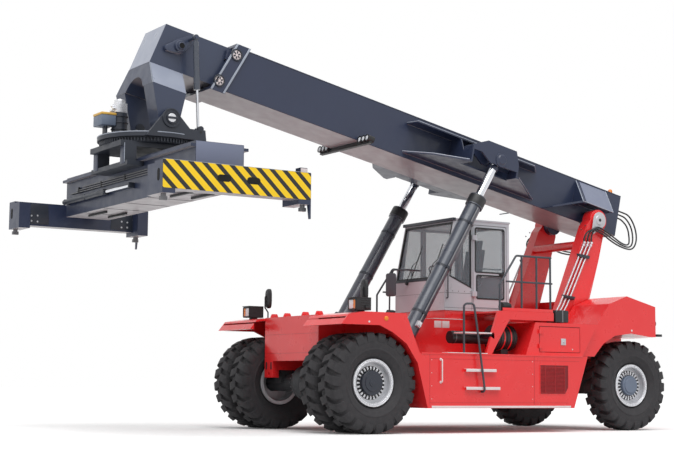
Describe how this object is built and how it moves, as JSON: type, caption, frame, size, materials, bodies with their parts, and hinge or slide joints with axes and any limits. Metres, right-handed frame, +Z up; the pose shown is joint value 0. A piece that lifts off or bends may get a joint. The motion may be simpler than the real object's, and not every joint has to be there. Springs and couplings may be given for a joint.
{
  "type": "container reach stacker",
  "caption": "Wheeled container handler with a telescopic lift boom that carries a turning, telescopic top spreader with twistlocks.",
  "frame": {"origin": "middle of the ground area that the machine covers, on the ground", "axes": "+X points forward, towards the spreader; +Y to the driver's left; +Z up"},
  "size_m": [11.0318, 6.1, 6.5119],
  "materials": {
    "red_paint": "gloss industrial enamel over welded steel plate",
    "engine_iron": "painted casting",
    "axle_paint": "black chassis enamel",
    "cab_paint": "light grey enamel",
    "window_glass": "clear safety glass",
    "seat_fabric": "dark seat cloth",
    "black_plastic": "moulded black plastic",
    "rail_paint": "dark grey enamel on tube",
    "boom_paint": "dark slate enamel over welded steel plate",
    "lamp_housing": "black lamp housings",
    "tyre": "industrial tyre rubber",
    "rim_paint": "silver rim enamel",
    "barrel_paint": "dark grey enamel",
    "rod_chrome": "hard chromed rod",
    "lock_steel": "worn forged steel"
  },
  "bodies": {
    "chassis": {"access_deck_left": "red_paint", "access_deck_right": "red_paint", "air_cleaner": "black_plastic", "boom_tower": "red_paint", "cab_console": "black_plastic", "cab_glass": "window_glass", "cab_seat": "seat_fabric", "cab_shell": "cab_paint", "chassis_frame": "red_paint", "counterweight": "red_paint", "engine_block": "engine_iron", "engine_cover_left": "red_paint", "engine_cover_right": "red_paint", "front_axle": "axle_paint", "front_lamps": "black_plastic", "guard_rail_left": "rail_paint", "guard_rail_right": "rail_paint", "mirrors": "black_plastic", "rear_axle": "axle_paint", "side_body_left": "red_paint", "side_body_right": "red_paint"},
    "front_wheels_left": {"front_tyres_left": "tyre", "front_rims_left": "rim_paint"},
    "knuckle_left": {"knuckle_left": "axle_paint"},
    "rear_wheel_left": {"rear_tyre_left": "tyre", "rear_rim_left": "rim_paint"},
    "engine_door_left": {"engine_door_left": "red_paint"},
    "lift_barrel_left": {"lift_barrel_left": "barrel_paint"},
    "lift_rod_left": {"lift_rod_left": "rod_chrome"},
    "damper_barrel_left": {"damper_barrel_left": "barrel_paint"},
    "damper_rod_left": {"damper_rod_left": "rod_chrome"},
    "spreader_end_left": {"spreader_end_left": "boom_paint"},
    "twistlock_front_left": {"twistlock_front_left": "lock_steel"},
    "twistlock_rear_left": {"twistlock_rear_left": "lock_steel"},
    "front_wheels_right": {"front_tyres_right": "tyre", "front_rims_right": "rim_paint"},
    "knuckle_right": {"knuckle_right": "axle_paint"},
    "rear_wheel_right": {"rear_tyre_right": "tyre", "rear_rim_right": "rim_paint"},
    "engine_door_right": {"engine_door_right": "red_paint"},
    "lift_barrel_right": {"lift_barrel_right": "barrel_paint"},
    "lift_rod_right": {"lift_rod_right": "rod_chrome"},
    "damper_barrel_right": {"damper_barrel_right": "barrel_paint"},
    "damper_rod_right": {"damper_rod_right": "rod_chrome"},
    "spreader_end_right": {"spreader_end_right": "boom_paint"},
    "twistlock_front_right": {"twistlock_front_right": "lock_steel"},
    "twistlock_rear_right": {"twistlock_rear_right": "lock_steel"},
    "cab_door": {"cab_door": "cab_paint", "cab_door_glass": "window_glass"},
    "boom": {"base_boom": "boom_paint", "boom_lamps": "lamp_housing"},
    "inner_boom": {"inner_boom": "boom_paint"},
    "yoke": {"yoke": "boom_paint", "slew_motors": "boom_paint"},
    "rotator": {"rotator_frame": "boom_paint"},
    "spreader": {"spreader_frame": "boom_paint"}
  },
  "joints": [
    {"name": "boom_lift", "type": "hinge", "parent": "chassis", "child": "boom", "pos_m": [-4.61595, 0, 3.9], "axis": [0, 1, 0], "range_deg": [-43, 12.1]},
    {"name": "boom_extend", "type": "slide", "parent": "boom", "child": "inner_boom", "axis": [0.9778, 0, 0.2096], "range_m": [0, 6.5]},
    {"name": "head_level", "type": "hinge", "parent": "inner_boom", "child": "yoke", "pos_m": [4.31095, 0, 4.90865], "axis": [0, 1, 0], "range_deg": [-12.1, 43]},
    {"name": "spreader_slew", "type": "hinge", "parent": "yoke", "child": "rotator", "pos_m": [4.31095, 0, 4.6], "axis": [0, 0, 1], "range_deg": [-185, 95]},
    {"name": "side_shift", "type": "slide", "parent": "rotator", "child": "spreader", "axis": [0, 1, 0], "range_m": [-0.8, 0.8]},
    {"name": "front_wheel_left", "type": "hinge", "parent": "chassis", "child": "front_wheels_left", "pos_m": [1.23405, 1.468, 0.808], "axis": [0, 1, 0], "continuous": true},
    {"name": "steer_left", "type": "hinge", "parent": "chassis", "child": "knuckle_left", "pos_m": [-4.61595, 1.08, 0.808], "axis": [0, 0, 1], "range_deg": [-45, 45]},
    {"name": "rear_wheel_left", "type": "hinge", "parent": "knuckle_left", "child": "rear_wheel_left", "pos_m": [-4.61595, 1.44, 0.808], "axis": [0, 1, 0], "continuous": true},
    {"name": "engine_door_left", "type": "hinge", "parent": "chassis", "child": "engine_door_left", "pos_m": [-2.20795, 1.918, 1.585], "axis": [0, 0, -1], "range_deg": [0, 110]},
    {"name": "lift_base_left", "type": "hinge", "parent": "chassis", "child": "lift_barrel_left", "pos_m": [0.13105, 1.18, 1.461], "axis": [0, 1, 0], "range_deg": [-0.96, 0.68]},
    {"name": "lift_stroke_left", "type": "slide", "parent": "lift_barrel_left", "child": "lift_rod_left", "axis": [-0.5233, 0, 0.8522], "range_m": [-0.5944, 2.0613]},
    {"name": "damper_top_left", "type": "hinge", "parent": "inner_boom", "child": "damper_barrel_left", "pos_m": [3.82499, 0.62, 6.29765], "axis": [0, 1, 0], "range_deg": [-1.22, 0.75]},
    {"name": "damper_stroke_left", "type": "slide", "parent": "damper_barrel_left", "child": "damper_rod_left", "axis": [-0.0494, 0, -0.9988], "range_m": [-0.4153, 0.124]},
    {"name": "telescope_left", "type": "slide", "parent": "spreader", "child": "spreader_end_left", "axis": [0, 1, 0], "range_m": [0, 3.04]},
    {"name": "lock_front_left", "type": "hinge", "parent": "spreader_end_left", "child": "twistlock_front_left", "pos_m": [5.44095, 2.927, 3.4], "axis": [0, 0, 1], "range_deg": [0, 90]},
    {"name": "lock_rear_left", "type": "hinge", "parent": "spreader_end_left", "child": "twistlock_rear_left", "pos_m": [3.18095, 2.927, 3.4], "axis": [0, 0, 1], "range_deg": [0, 90]},
    {"name": "front_wheel_right", "type": "hinge", "parent": "chassis", "child": "front_wheels_right", "pos_m": [1.23405, -1.468, 0.808], "axis": [0, 1, 0], "continuous": true},
    {"name": "steer_right", "type": "hinge", "parent": "chassis", "child": "knuckle_right", "pos_m": [-4.61595, -1.08, 0.808], "axis": [0, 0, 1], "range_deg": [-45, 45]},
    {"name": "rear_wheel_right", "type": "hinge", "parent": "knuckle_right", "child": "rear_wheel_right", "pos_m": [-4.61595, -1.44, 0.808], "axis": [0, 1, 0], "continuous": true},
    {"name": "engine_door_right", "type": "hinge", "parent": "chassis", "child": "engine_door_right", "pos_m": [-2.20795, -1.918, 1.585], "axis": [0, 0, 1], "range_deg": [0, 110]},
    {"name": "lift_base_right", "type": "hinge", "parent": "chassis", "child": "lift_barrel_right", "pos_m": [0.13105, -1.18, 1.461], "axis": [0, 1, 0], "range_deg": [-0.96, 0.68]},
    {"name": "lift_stroke_right", "type": "slide", "parent": "lift_barrel_right", "child": "lift_rod_right", "axis": [-0.5233, 0, 0.8522], "range_m": [-0.5944, 2.0613]},
    {"name": "damper_top_right", "type": "hinge", "parent": "inner_boom", "child": "damper_barrel_right", "pos_m": [3.82499, -0.62, 6.29765], "axis": [0, 1, 0], "range_deg": [-1.22, 0.75]},
    {"name": "damper_stroke_right", "type": "slide", "parent": "damper_barrel_right", "child": "damper_rod_right", "axis": [-0.0494, 0, -0.9988], "range_m": [-0.4153, 0.124]},
    {"name": "telescope_right", "type": "slide", "parent": "spreader", "child": "spreader_end_right", "axis": [0, -1, 0], "range_m": [0, 3.04]},
    {"name": "lock_front_right", "type": "hinge", "parent": "spreader_end_right", "child": "twistlock_front_right", "pos_m": [5.44095, -2.927, 3.4], "axis": [0, 0, 1], "range_deg": [0, 90]},
    {"name": "lock_rear_right", "type": "hinge", "parent": "spreader_end_right", "child": "twistlock_rear_right", "pos_m": [3.18095, -2.927, 3.4], "axis": [0, 0, 1], "range_deg": [0, 90]},
    {"name": "cab_door_hinge", "type": "hinge", "parent": "chassis", "child": "cab_door", "pos_m": [-1.66095, 0.775, 2.9], "axis": [0, 0, -1], "range_deg": [0, 95]}
  ],
  "couplings": [
    {"joint": "head_level", "follows": "boom_lift", "ratio": -1},
    {"joint": "lift_base_left", "follows": "boom_lift", "ratio": 0.009},
    {"joint": "lift_stroke_left", "follows": "boom_lift", "m_per_rad": -2.72},
    {"joint": "damper_top_left", "follows": "boom_lift", "ratio": 0.015},
    {"joint": "damper_stroke_left", "follows": "boom_lift", "m_per_rad": 0.54},
    {"joint": "lift_base_right", "follows": "boom_lift", "ratio": 0.009},
    {"joint": "lift_stroke_right", "follows": "boom_lift", "m_per_rad": -2.72},
    {"joint": "damper_top_right", "follows": "boom_lift", "ratio": 0.015},
    {"joint": "damper_stroke_right", "follows": "boom_lift", "m_per_rad": 0.54},
    {"joint": "steer_right", "follows": "steer_left", "ratio": 1},
    {"joint": "telescope_right", "follows": "telescope_left", "ratio": 1},
    {"joint": "lock_rear_left", "follows": "lock_front_left", "ratio": 1},
    {"joint": "lock_front_right", "follows": "lock_front_left", "ratio": 1},
    {"joint": "lock_rear_right", "follows": "lock_front_left", "ratio": 1}
  ]
}
